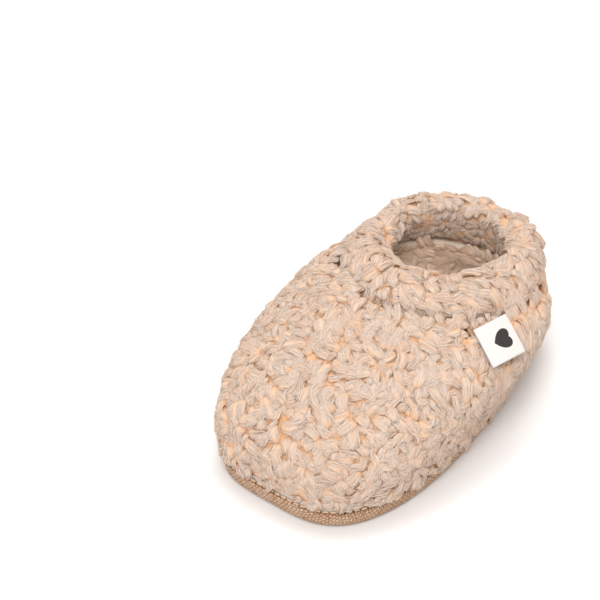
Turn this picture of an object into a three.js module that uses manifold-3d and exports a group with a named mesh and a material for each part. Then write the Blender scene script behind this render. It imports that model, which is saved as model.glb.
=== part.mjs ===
// Baby bootie: a soft teddy-fleece upper with an elasticated ankle cuff, on a padded sole of woven canvas.
//
// Millimetres, +Z up. The toe points to -Y, the heel to +Y, and the side label is on the +X side. The origin is
// the middle of the bootie's box, on the surface that it stands on.
//
// A turn is an angle round the bootie, seen from above: 0 at the toe, a quarter turn on the +X side and half a
// turn at the heel. A share goes from 0 where the upper leaves the sole to 1 at the seam of the cuff.

import * as THREE from "three";
import { LoftGeometry } from "three/addons/geometries/LoftGeometry.js";
import { mergeVertices } from "three/addons/utils/BufferGeometryUtils.js";
import Module from "manifold-3d";

// ---------------------------------------------------------------- driving dimensions

// Sole
const SOLE_LENGTH = 120;
const TOE_WIDTH = 76; // width that the outline would have at the toe end if it weren't rounded off
const HEEL_WIDTH = 42; // the same at the heel end
const SOLE_BEND = 2.7; // how far toe and heel lean towards the inside of the foot
const END_ROUNDING = 0.55; // 1 is an ellipse, less is squarer
const CANVAS_THICKNESS = 1.4;
const CANVAS_ROLL = 3.2; // radius of the canvas edge, where it turns up from the ground
const CANVAS_WALL = 5.6; // height of the canvas edge above the ground
const INSOLE_THICKNESS = 1.2;

// Upper
const FLEECE_THICKNESS = 6; // knitted back and pile together
const LINING_THICKNESS = 2.5;
const TOE_SWELL = 6; // how far the upper heads out past the edge of the sole
const TOE_RISE = 0.61; // while it rises this share of its height
const HEEL_SWELL = 10;
const HEEL_RISE = 0.41;
const TOE_SLOPE = 26; // how far it runs level on its way up to the cuff
const TOE_CLIMB = 0.23; // while it climbs this share of its height
const HEEL_SLOPE = 2;
const HEEL_CLIMB = 0.49;
const SIDE_SEAM_TOP = 50; // turn of the side seams at the cuff, in degrees
const SIDE_SEAM_FOOT = 102; // and at the sole

// Ankle
const ANKLE_PLACE = 25; // middle of the cuff's seam, along Y
const ANKLE_LEAN = 2.5; // how far the ankle lies towards the inside of the foot
const ANKLE_LENGTH = 68; // the oval of that seam
const ANKLE_WIDTH = 63;
const ANKLE_HEIGHT = 42;
const ANKLE_TILT = 8; // how much its front lies above its middle, and its back below
const CUFF_HEIGHT = 14;
const CUFF_LAYER = 3.2; // each of the cuff's two layers
const ELASTIC_THICKNESS = 1.2;
const ELASTIC_WIDTH = 7;

// Trim
const THREAD_DIAMETER = 1;
const LABEL_WIDTH = 13; // along the side seam
const LABEL_REACH = 12.5; // out of the side seam
const LABEL_THICKNESS = 0.8;
const LABEL_SHARE = 0.82; // where its middle lies, up the side seam
const LABEL_LIFT = 4; // how far it stands off the heel piece, in degrees

// Fits
const LAYER_GAP = 0.35; // between pieces that are sewn or laid together
const LINING_GAP = 0.6; // between the fleece and its lining, which lies loose in it
const ELASTIC_GAP = 0.6; // round the elastic, which lies loose in the cuff
const SIDE_SEAM_GAP = 2.4; // between the vamp and the heel piece, whose edges turn in

// How finely the shapes are faceted
const TURN_STEPS = 56;
const VAMP_STEPS = 30;
const HEEL_STEPS = 26;
const SHARE_STEPS = 9;
const THREAD_SIDES = 6;

// ---------------------------------------------------------------- sizes that follow

const SEAM_GAP = THREAD_DIAMETER + 2 * LAYER_GAP; // between two pieces with a thread between them
const UPPER_BASE = CANVAS_WALL + SEAM_GAP;
const INSOLE_TOP = UPPER_BASE - LAYER_GAP;
const INSOLE_BASE = INSOLE_TOP - INSOLE_THICKNESS;
const PADDING_TOP = INSOLE_BASE - LAYER_GAP;
const PADDING_BASE = CANVAS_THICKNESS + LAYER_GAP;
const LINING_DEPTH = FLEECE_THICKNESS + LINING_GAP;
const ELASTIC_SLOT = ELASTIC_THICKNESS + 2 * ELASTIC_GAP;
const CUFF_THICKNESS = 2 * CUFF_LAYER + ELASTIC_SLOT;
const FULL_TURN = 2 * Math.PI;

// ---------------------------------------------------------------- the bootie's form

/** Blends a size from the heel to the toe. */
function blend(turn, heel, toe, sharpness = 1) {
  return THREE.MathUtils.lerp(heel, toe, ((1 + Math.cos(turn)) / 2) ** sharpness);
}

/** A point of the sole's outline, on the ground. */
function soleEdge(turn) {
  const side = Math.sign(Math.sin(turn)) * Math.abs(Math.sin(turn)) ** END_ROUNDING;
  return new THREE.Vector3(
    (side * blend(turn, HEEL_WIDTH, TOE_WIDTH)) / 2 - SOLE_BEND * Math.cos(turn) ** 2,
    (-Math.cos(turn) * SOLE_LENGTH) / 2,
    0,
  );
}

/** The level way out of the sole's outline. */
function soleOutward(turn) {
  const step = 0.01;
  const along = soleEdge(turn + step).sub(soleEdge(turn - step)).normalize();
  return new THREE.Vector3(along.y, -along.x, 0);
}

/** A point at an inset from the sole's outline, and at a height. */
function solePoint(turn, inset, height) {
  return soleEdge(turn).addScaledVector(soleOutward(turn), -inset).setZ(height);
}

/** A point of the seam that joins the cuff to the upper. */
function anklePoint(turn) {
  return new THREE.Vector3(
    (Math.sin(turn) * ANKLE_WIDTH) / 2 - ANKLE_LEAN,
    ANKLE_PLACE - (Math.cos(turn) * ANKLE_LENGTH) / 2,
    ANKLE_HEIGHT + ANKLE_TILT * Math.cos(turn),
  );
}

/** The upper's outside at a turn: one curve from the sole to the seam of the cuff. */
function upperProfile(turn) {
  const foot = solePoint(turn, 0, UPPER_BASE);
  const ankle = anklePoint(turn);
  const height = ankle.z - foot.z;
  const ankleOut = new THREE.Vector3(
    Math.sin(turn) * ANKLE_LENGTH,
    -Math.cos(turn) * ANKLE_WIDTH,
    0,
  ).normalize();
  const rise = soleOutward(turn)
    .multiplyScalar(blend(turn, HEEL_SWELL, TOE_SWELL))
    .setZ(height * blend(turn, HEEL_RISE, TOE_RISE));
  const slope = ankleOut
    .multiplyScalar(blend(turn, HEEL_SLOPE, TOE_SLOPE, 1.6))
    .setZ(-height * blend(turn, HEEL_CLIMB, TOE_CLIMB));
  return new THREE.CubicBezierCurve3(foot, foot.clone().add(rise), ankle.clone().add(slope), ankle);
}

/**
 * The place of a point of the upper's outside, the way up along it and the way into its wall, which is level at
 * the foot of the wall so that it stands flat on the sole.
 */
function upperFrame(turn, share) {
  const step = 0.01;
  const place = upperProfile(turn).getPoint(share);
  const round = upperProfile(turn + step)
    .getPoint(share)
    .sub(upperProfile(turn - step).getPoint(share));
  const up = upperProfile(turn).getTangent(share);
  const across = up.clone().cross(round).normalize();
  const inward = soleOutward(turn)
    .negate()
    .lerp(across, THREE.MathUtils.smoothstep(share, 0, 0.3))
    .normalize();
  return { place, up, inward };
}

/** A point in the upper's wall, at a depth under its outside. */
function upperPoint(turn, share, depth) {
  const { place, inward } = upperFrame(turn, share);
  return place.addScaledVector(inward, depth);
}

/** A point in the cuff, at a height above its seam and a depth under the upper's outside. */
function cuffPoint(turn, height, depth) {
  const { place, up, inward } = upperFrame(turn, 1);
  return place.addScaledVector(up, height).addScaledVector(inward, depth);
}

/** The share at which the wall stops short of the cuff's seam, for the thread between. */
function wallTop(turn) {
  const { v2, v3 } = upperProfile(turn);
  return 1 - SEAM_GAP / 2 / (3 * v2.distanceTo(v3));
}

/** The turn of the side seam on the +X side, which changes as the seam climbs. */
function sideSeam(share) {
  return THREE.MathUtils.degToRad(THREE.MathUtils.lerp(SIDE_SEAM_FOOT, SIDE_SEAM_TOP, share));
}

/** The turn by which a piece stays back from a side seam, for the thread between. */
function seamAllowance(share) {
  return THREE.MathUtils.lerp(SIDE_SEAM_GAP / SOLE_LENGTH, SIDE_SEAM_GAP / ANKLE_WIDTH, share);
}

// ---------------------------------------------------------------- making solids

/** Numbers from one value to another in even steps. */
function spread(steps, from, to) {
  return Array.from({ length: steps + 1 }, (_, i) => THREE.MathUtils.lerp(from, to, i / steps));
}

const ringTurns = spread(TURN_STEPS, 0, FULL_TURN).slice(0, -1);
const wallHeights = spread(SHARE_STEPS, 0, 1);

/** A ring whose section is a loop of [height, depth] corners of the cuff. */
function cuffRing(corners) {
  const sections = ringTurns.map((turn) => corners.map(([height, depth]) => cuffPoint(turn, height, depth)));
  return new LoftGeometry([...sections, sections[0]]);
}

/**
 * A sheet of the upper's wall from one depth to another. turnAt gives the turn for a part of the way across the
 * sheet and a part of the way up. The last section at each end closes the sheet by drawing its faces together.
 */
function wallSheet(steps, turnAt, outside, inside) {
  const corner = (part, height, depth) => {
    const turn = turnAt(part, height);
    return upperPoint(turn, height * wallTop(turn), depth);
  };
  const section = (part, outer, inner) => [
    ...wallHeights.map((height) => corner(part, height, inner)),
    ...wallHeights.toReversed().map((height) => corner(part, height, outer)),
  ];
  const middle = (outside + inside) / 2;
  return new LoftGeometry([
    section(0, middle, middle),
    ...spread(steps, 0, 1).map((part) => section(part, outside, inside)),
    section(1, middle, middle),
  ]);
}

/** A solid stacked from outlines of the sole, each given as its inset and its height. */
function soleStack(levels) {
  const sections = levels.map(([inset, height]) =>
    ringTurns.map((turn) => solePoint(turn, inset, height)),
  );
  return new LoftGeometry(sections, { capStart: true, capEnd: true });
}

/** A thread round the bootie, through a point for each turn. */
function threadRing(pointAt) {
  const path = new THREE.CatmullRomCurve3(ringTurns.map(pointAt), true);
  return new THREE.TubeGeometry(path, TURN_STEPS, THREAD_DIAMETER / 2, THREAD_SIDES, true);
}

/** A thread through some points, with flat ends. */
function threadLength(points) {
  const corners = spread(THREAD_SIDES, 0, FULL_TURN).slice(1);
  const section = corners.map((angle) =>
    new THREE.Vector2(Math.cos(angle), Math.sin(angle)).multiplyScalar(THREAD_DIAMETER / 2),
  );
  return new THREE.ExtrudeGeometry(new THREE.Shape(section), {
    steps: points.length - 1,
    extrudePath: new THREE.CatmullRomCurve3(points),
  });
}

// ---------------------------------------------------------------- cutting one solid out of another

const wasm = await Module();
wasm.setup();

function toManifold(geometry) {
  geometry.deleteAttribute("normal").deleteAttribute("uv");
  const merged = mergeVertices(geometry, 1e-3);
  return new wasm.Manifold(
    new wasm.Mesh({
      numProp: 3,
      vertProperties: merged.getAttribute("position").array,
      triVerts: new Uint32Array(merged.getIndex().array),
    }),
  );
}

function cut(body, tool) {
  const { vertProperties, triVerts } = toManifold(body).subtract(toManifold(tool)).getMesh();
  const geometry = new THREE.BufferGeometry()
    .setAttribute("position", new THREE.BufferAttribute(vertProperties, 3))
    .setIndex(new THREE.BufferAttribute(triVerts, 1));
  geometry.computeVertexNormals();
  return geometry;
}

// ---------------------------------------------------------------- materials

const fleece = new THREE.MeshStandardMaterial({ color: 0xe8d2c0, roughness: 1, metalness: 0 });
const softLining = new THREE.MeshStandardMaterial({ color: 0xe3c7b0, roughness: 1, metalness: 0 });
const canvas = new THREE.MeshStandardMaterial({ color: 0xcbab8e, roughness: 0.95, metalness: 0 });
const jersey = new THREE.MeshStandardMaterial({ color: 0xe4d6cb, roughness: 0.9, metalness: 0 });
const foam = new THREE.MeshStandardMaterial({ color: 0xf0ece4, roughness: 1, metalness: 0 });
const thread = new THREE.MeshStandardMaterial({ color: 0xd9bfa6, roughness: 0.7, metalness: 0 });
const rubberBraid = new THREE.MeshStandardMaterial({ color: 0xf4f1ec, roughness: 0.8, metalness: 0 });
const cottonTape = new THREE.MeshStandardMaterial({ color: 0xe2dedb, roughness: 0.85, metalness: 0 });

const bootie = new THREE.Group();

function addPiece(name, geometry, material) {
  const mesh = new THREE.Mesh(geometry, material);
  mesh.name = name;
  bootie.add(mesh);
  return mesh;
}

// ---------------------------------------------------------------- sole

// The canvas is a tray that holds the padding and the insole.
const rollInset = CANVAS_ROLL * (1 - Math.SQRT1_2);
const innerRollInset = rollInset + CANVAS_THICKNESS * Math.SQRT1_2;
const canvasOutside = soleStack([
  [CANVAS_ROLL, 0],
  [rollInset, rollInset],
  [0, CANVAS_ROLL],
  [0, CANVAS_WALL],
]);
const canvasInside = soleStack([
  [CANVAS_ROLL, CANVAS_THICKNESS],
  [innerRollInset, innerRollInset],
  [CANVAS_THICKNESS, CANVAS_ROLL],
  [CANVAS_THICKNESS, UPPER_BASE],
]);
addPiece("outsole_canvas", cut(canvasOutside, canvasInside), canvas);

const fillingInset = CANVAS_THICKNESS + LAYER_GAP;
const padding = soleStack([
  [CANVAS_ROLL + LAYER_GAP, PADDING_BASE],
  [fillingInset, CANVAS_ROLL + LAYER_GAP],
  [fillingInset, PADDING_TOP],
]);
addPiece("sole_padding", padding, foam);

const insole = soleStack([
  [fillingInset, INSOLE_BASE],
  [fillingInset, INSOLE_TOP],
]);
addPiece("insole_lining", insole, jersey);

// ---------------------------------------------------------------- upper

/** The vamp runs from one side seam round the toe to the other. */
function vampTurn(part, height) {
  const end = sideSeam(height) - seamAllowance(height);
  return THREE.MathUtils.lerp(-end, end, part);
}

/** The heel piece runs from one side seam round the heel to the other. */
function heelTurn(part, height) {
  const end = sideSeam(height) + seamAllowance(height);
  return THREE.MathUtils.lerp(end, FULL_TURN - end, part);
}

const liningInside = LINING_DEPTH + LINING_THICKNESS;
addPiece("vamp_fleece", wallSheet(VAMP_STEPS, vampTurn, 0, FLEECE_THICKNESS), fleece);
addPiece("vamp_lining", wallSheet(VAMP_STEPS, vampTurn, LINING_DEPTH, liningInside), softLining);
addPiece("heel_fleece", wallSheet(HEEL_STEPS, heelTurn, 0, FLEECE_THICKNESS), fleece);
addPiece("heel_lining", wallSheet(HEEL_STEPS, heelTurn, LINING_DEPTH, liningInside), softLining);

// ---------------------------------------------------------------- cuff

// The cuff is a band folded over its elastic, with its open side down at the seam.
const cuffFoot = SEAM_GAP / 2;
const cuffShoulder = cuffFoot + CUFF_HEIGHT * 0.6;
const cuffRound = cuffFoot + CUFF_HEIGHT * 0.92;
const slotTop = cuffFoot + ELASTIC_WIDTH + 2 * ELASTIC_GAP;
const slotInside = CUFF_LAYER + ELASTIC_SLOT;
const cuff = cuffRing([
  [cuffFoot, CUFF_THICKNESS],
  [cuffShoulder, CUFF_THICKNESS],
  [cuffRound, CUFF_THICKNESS - CUFF_LAYER * 0.6],
  [cuffFoot + CUFF_HEIGHT, CUFF_THICKNESS / 2],
  [cuffRound, CUFF_LAYER * 0.6],
  [cuffShoulder, 0],
  [cuffFoot, 0],
  [cuffFoot, CUFF_LAYER],
  [slotTop, CUFF_LAYER],
  [slotTop, slotInside],
  [cuffFoot, slotInside],
]);
addPiece("ankle_cuff", cuff, fleece);

const elasticFoot = cuffFoot + ELASTIC_GAP;
const elasticOutside = CUFF_LAYER + ELASTIC_GAP;
const elastic = cuffRing([
  [elasticFoot, elasticOutside + ELASTIC_THICKNESS],
  [elasticFoot + ELASTIC_WIDTH, elasticOutside + ELASTIC_THICKNESS],
  [elasticFoot + ELASTIC_WIDTH, elasticOutside],
  [elasticFoot, elasticOutside],
]);
addPiece("cuff_elastic", elastic, rubberBraid);

// ---------------------------------------------------------------- seams

const soleSeamHeight = CANVAS_WALL + SEAM_GAP / 2;
addPiece(
  "sole_seam_thread",
  threadRing((turn) => solePoint(turn, CANVAS_THICKNESS / 2, soleSeamHeight)),
  thread,
);
addPiece(
  "cuff_seam_thread",
  threadRing((turn) => cuffPoint(turn, 0, FLEECE_THICKNESS / 2)),
  thread,
);

/** The thread of a side seam, in the middle of the fleece; side is 1 for the +X side and -1 for the other. */
function sideSeamThread(side) {
  const margin = SEAM_GAP / upperProfile(sideSeam(0)).getLength();
  const seamShares = spread(SHARE_STEPS, margin, 1 - margin);
  return threadLength(
    seamShares.map((share) => upperPoint(side * sideSeam(share), share, FLEECE_THICKNESS / 2)),
  );
}

addPiece("outer_side_seam_thread", sideSeamThread(1), thread);
addPiece("inner_side_seam_thread", sideSeamThread(-1), thread);

// ---------------------------------------------------------------- label

// The label is a flap of tape that is sewn into the outer side seam and lies back over the heel piece. Its group
// has X along the reach of the label, Y up the seam and Z out of the upper, and turns about Y.
const labelRise = (LABEL_WIDTH / 2) / upperProfile(sideSeam(LABEL_SHARE)).getLength();
const labelFoot = upperPoint(sideSeam(LABEL_SHARE - labelRise), LABEL_SHARE - labelRise, 0);
const labelHead = upperPoint(sideSeam(LABEL_SHARE + labelRise), LABEL_SHARE + labelRise, 0);
const labelOut = upperFrame(sideSeam(LABEL_SHARE), LABEL_SHARE).inward.negate();
const seamUp = labelHead.clone().sub(labelFoot).normalize();
const labelReach = seamUp.clone().cross(labelOut).normalize();
labelOut.crossVectors(labelReach, seamUp);

const label = new THREE.Group();
label.position.copy(upperPoint(sideSeam(LABEL_SHARE), LABEL_SHARE, -LAYER_GAP - LABEL_THICKNESS / 2));
label.quaternion.setFromRotationMatrix(new THREE.Matrix4().makeBasis(labelReach, seamUp, labelOut));
label.rotateY(-THREE.MathUtils.degToRad(LABEL_LIFT));
bootie.add(label);

const flap = addPiece(
  "side_label",
  new THREE.BoxGeometry(LABEL_REACH, LABEL_WIDTH, LABEL_THICKNESS),
  cottonTape,
);
flap.position.x = LABEL_REACH / 2;
label.add(flap);

const stitchShares = spread(4, LABEL_SHARE - labelRise * 0.8, LABEL_SHARE + labelRise * 0.8);
addPiece(
  "label_stitch",
  threadLength(stitchShares.map((share) => upperPoint(sideSeam(share), share, THREAD_DIAMETER / 2))),
  thread,
);

// ---------------------------------------------------------------- placing

// The middle of the box goes over the origin.
const box = new THREE.Box3().setFromObject(bootie, true);
const middle = box.getCenter(new THREE.Vector3());
bootie.position.set(-middle.x, -middle.y, -box.min.z);

const model = new THREE.Group();
model.add(bootie);

export default model;
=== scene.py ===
"""The looks of the baby bootie: curly fleece, canvas, linings, seams and label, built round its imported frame.

Everything is in metres, in the frame's own axes: the toe points to -Y, the heel to +Y and the label is on the
+X side. A turn is an angle round the bootie seen from above, 0 at the toe and half a turn at the heel.
A share goes from 0 where the upper leaves the sole to 1 at the seam of the cuff.
"""

import logging
import math
from dataclasses import dataclass, field
from enum import Enum

import bmesh
import bpy
import numpy as np
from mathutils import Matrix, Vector

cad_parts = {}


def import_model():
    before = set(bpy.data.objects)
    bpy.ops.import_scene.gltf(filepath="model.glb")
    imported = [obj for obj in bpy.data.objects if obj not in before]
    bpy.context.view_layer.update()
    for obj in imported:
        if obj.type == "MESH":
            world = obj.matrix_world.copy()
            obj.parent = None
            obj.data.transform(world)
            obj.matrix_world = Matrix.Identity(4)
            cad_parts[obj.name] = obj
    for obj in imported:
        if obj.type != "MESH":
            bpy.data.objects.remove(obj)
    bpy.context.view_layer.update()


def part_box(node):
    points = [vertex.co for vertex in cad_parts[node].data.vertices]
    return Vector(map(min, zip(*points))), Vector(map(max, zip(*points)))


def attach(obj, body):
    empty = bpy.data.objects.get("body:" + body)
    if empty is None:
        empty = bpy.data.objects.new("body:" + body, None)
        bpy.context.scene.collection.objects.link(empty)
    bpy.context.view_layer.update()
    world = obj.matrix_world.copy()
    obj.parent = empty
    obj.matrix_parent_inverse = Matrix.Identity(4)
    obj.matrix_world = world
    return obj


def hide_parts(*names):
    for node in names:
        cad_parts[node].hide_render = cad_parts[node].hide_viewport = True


LOG = logging.getLogger("bootie")
MM = 0.001
FULL_TURN = 2 * math.pi

Tint = tuple[int, int, int]
PLAIN: Tint = (255, 255, 255)  # a tint that changes nothing


# ---------------------------------------------------------------- small helpers


def linear(red: int, green: int, blue: int) -> tuple[float, float, float, float]:
    """Turns a screen colour of 0 to 255 into the linear colour that a shader takes."""
    parts = [c / 255 for c in (red, green, blue)]
    low = [c / 12.92 if c <= 0.04045 else ((c + 0.055) / 1.055) ** 2.4 for c in parts]
    return (low[0], low[1], low[2], 1.0)


def unit(vectors: np.ndarray) -> np.ndarray:
    """Scales vectors to a length of one, along their last axis."""
    return vectors / np.maximum(np.linalg.norm(vectors, axis=-1, keepdims=True), 1e-12)


def mix(start: np.ndarray, end: np.ndarray, part: np.ndarray) -> np.ndarray:
    """Goes from start to end by a part of 0 to 1."""
    return start + (end - start) * part


def smooth_step(value: np.ndarray, low: float, high: float) -> np.ndarray:
    """Rises smoothly from 0 at low to 1 at high."""
    part = np.clip((value - low) / (high - low), 0, 1)
    return part * part * (3 - 2 * part)


class Ripple:
    """A smooth random field in space, made of a few dozen waves from one seed."""

    def __init__(self, seed: int, waves: int = 28) -> None:
        """Chooses the waves.

        Args:
            seed: The number that the waves come from.
            waves: How many there are.
        """
        chance = np.random.default_rng(seed)
        self.ways = unit(chance.normal(size=(waves, 3))) * chance.uniform(0.6, 1.4, (waves, 1))
        self.starts = chance.uniform(0, FULL_TURN, waves)

    def at(self, points: np.ndarray, length: float) -> np.ndarray:
        """Reads the field.

        Args:
            points: Places, with their three numbers on the last axis.
            length: The length of a wave.

        Returns:
            One number per place, mostly from -1 to 1.
        """
        angles = points @ self.ways.T * (FULL_TURN / length) + self.starts
        return np.cos(angles).sum(-1) / math.sqrt(len(self.starts))


# ---------------------------------------------------------------- the form that every piece follows


@dataclass(frozen=True)
class BootieForm:
    """The bootie's form, with the same sizes and curves as its frame."""

    sole_length: float = 120 * MM
    toe_width: float = 76 * MM
    heel_width: float = 42 * MM
    sole_bend: float = 2.7 * MM
    end_rounding: float = 0.55
    canvas_thickness: float = 1.4 * MM
    canvas_roll: float = 3.2 * MM
    canvas_wall: float = 5.6 * MM
    insole_thickness: float = 1.2 * MM
    fleece_thickness: float = 6 * MM
    lining_thickness: float = 2.5 * MM
    toe_swell: float = 6 * MM
    toe_rise: float = 0.61
    heel_swell: float = 10 * MM
    heel_rise: float = 0.41
    toe_slope: float = 26 * MM
    toe_climb: float = 0.23
    heel_slope: float = 2 * MM
    heel_climb: float = 0.49
    side_seam_top: float = math.radians(50)
    side_seam_foot: float = math.radians(102)
    ankle_place: float = 25 * MM
    ankle_lean: float = 2.5 * MM
    ankle_length: float = 68 * MM
    ankle_width: float = 63 * MM
    ankle_height: float = 42 * MM
    ankle_tilt: float = 8 * MM
    cuff_height: float = 14 * MM
    cuff_layer: float = 3.2 * MM
    elastic_slot: float = 2.4 * MM
    thread_diameter: float = 1 * MM
    layer_gap: float = 0.35 * MM
    lining_gap: float = 0.6 * MM
    side_seam_gap: float = 2.4 * MM
    shift: tuple[float, float] = (0.0, 0.0)

    @property
    def seam_gap(self) -> float:
        """The gap between two pieces with a thread between them."""
        return self.thread_diameter + 2 * self.layer_gap

    @property
    def upper_base(self) -> float:
        """How high the upper's foot lies."""
        return self.canvas_wall + self.seam_gap

    @property
    def insole_top(self) -> float:
        """How high the insole's top lies."""
        return self.upper_base - self.layer_gap

    @property
    def cuff_thickness(self) -> float:
        """The cuff's two layers and the slot between them."""
        return 2 * self.cuff_layer + self.elastic_slot

    @property
    def lining_depth(self) -> float:
        """How deep the lining lies under the upper's outside."""
        return self.fleece_thickness + self.lining_gap

    def blend(self, turn: np.ndarray, heel: float, toe: float, sharpness: float = 1) -> np.ndarray:
        """Blends a size from the heel to the toe."""
        return mix(heel, toe, ((1 + np.cos(turn)) / 2) ** sharpness)

    def sole_edge(self, turn: np.ndarray) -> np.ndarray:
        """Points of the sole's outline, on the ground."""
        side = np.sign(np.sin(turn)) * np.abs(np.sin(turn)) ** self.end_rounding
        x = side * self.blend(turn, self.heel_width, self.toe_width) / 2 - self.sole_bend * np.cos(turn) ** 2
        y = -np.cos(turn) * self.sole_length / 2
        return np.stack([x + self.shift[0], y + self.shift[1], 0 * x], -1)

    def sole_outward(self, turn: np.ndarray) -> np.ndarray:
        """The level way out of the sole's outline."""
        along = unit(self.sole_edge(turn + 0.01) - self.sole_edge(turn - 0.01))
        return np.stack([along[..., 1], -along[..., 0], 0 * along[..., 0]], -1)

    def sole_point(self, turn: np.ndarray, inset: np.ndarray, height: np.ndarray) -> np.ndarray:
        """Points at an inset from the sole's outline, and at a height."""
        place = self.sole_edge(turn) - self.sole_outward(turn) * np.asarray(inset)[..., None]
        place[..., 2] = height
        return place

    def profile(self, turn: np.ndarray) -> tuple[np.ndarray, ...]:
        """The four control points of the upper's curve at each turn, from the sole to the cuff's seam."""
        foot = self.sole_point(turn, 0 * turn, self.upper_base)
        ankle = np.stack(
            [
                np.sin(turn) * self.ankle_width / 2 - self.ankle_lean + self.shift[0],
                self.ankle_place - np.cos(turn) * self.ankle_length / 2 + self.shift[1],
                self.ankle_height + self.ankle_tilt * np.cos(turn),
            ],
            -1,
        )
        way_out = unit(
            np.stack([np.sin(turn) * self.ankle_length, -np.cos(turn) * self.ankle_width, 0 * turn], -1)
        )
        height = ankle[..., 2] - foot[..., 2]
        rise = self.sole_outward(turn) * self.blend(turn, self.heel_swell, self.toe_swell)[..., None]
        rise[..., 2] = height * self.blend(turn, self.heel_rise, self.toe_rise)
        slope = way_out * self.blend(turn, self.heel_slope, self.toe_slope, 1.6)[..., None]
        slope[..., 2] = -height * self.blend(turn, self.heel_climb, self.toe_climb)
        return foot, foot + rise, ankle + slope, ankle

    def outside(self, turn: np.ndarray, share: np.ndarray) -> np.ndarray:
        """Points of the upper's outside."""
        a, b, c, d = self.profile(turn)
        s = np.asarray(share)[..., None]
        return (1 - s) ** 3 * a + 3 * (1 - s) ** 2 * s * b + 3 * (1 - s) * s**2 * c + s**3 * d

    def frames(self, turn: np.ndarray, share: np.ndarray) -> tuple[np.ndarray, ...]:
        """Where points of the upper's outside lie, and the ways up, round and out there.

        Args:
            turn: Their turns.
            share: Their shares, one for each turn.

        Returns:
            Four arrays: places, ways up, ways round and ways out.
        """
        turn, share = np.broadcast_arrays(np.asarray(turn, float), np.asarray(share, float))
        a, b, c, d = self.profile(turn)
        s = share[..., None]
        up = unit((1 - s) ** 2 * (b - a) + 2 * (1 - s) * s * (c - b) + s**2 * (d - c))
        around = unit(self.outside(turn + 0.01, share) - self.outside(turn - 0.01, share))
        across = unit(np.cross(up, around))
        out = -unit(mix(-self.sole_outward(turn), across, smooth_step(share, 0, 0.3)[..., None]))
        return self.outside(turn, share), up, around, out

    def wall(self, turn: np.ndarray, share: np.ndarray, depth: np.ndarray) -> np.ndarray:
        """Points in the upper's wall, at a depth under its outside."""
        place, _, _, out = self.frames(turn, share)
        return place - out * np.asarray(depth)[..., None]

    def cuff(self, turn: np.ndarray, height: np.ndarray, depth: np.ndarray) -> np.ndarray:
        """Points in the cuff, at a height above its seam and a depth under the upper's outside."""
        place, up, _, out = self.frames(turn, np.ones_like(turn))
        return place + up * np.asarray(height)[..., None] - out * np.asarray(depth)[..., None]

    def side_seam(self, share: np.ndarray) -> np.ndarray:
        """The turn of the side seam on the +X side."""
        return mix(self.side_seam_foot, self.side_seam_top, share)

    def seam_allowance(self, share: np.ndarray) -> np.ndarray:
        """The turn by which a piece stays back from a side seam."""
        return mix(self.side_seam_gap / self.sole_length, self.side_seam_gap / self.ankle_width, share)


# ---------------------------------------------------------------- meshes


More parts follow.
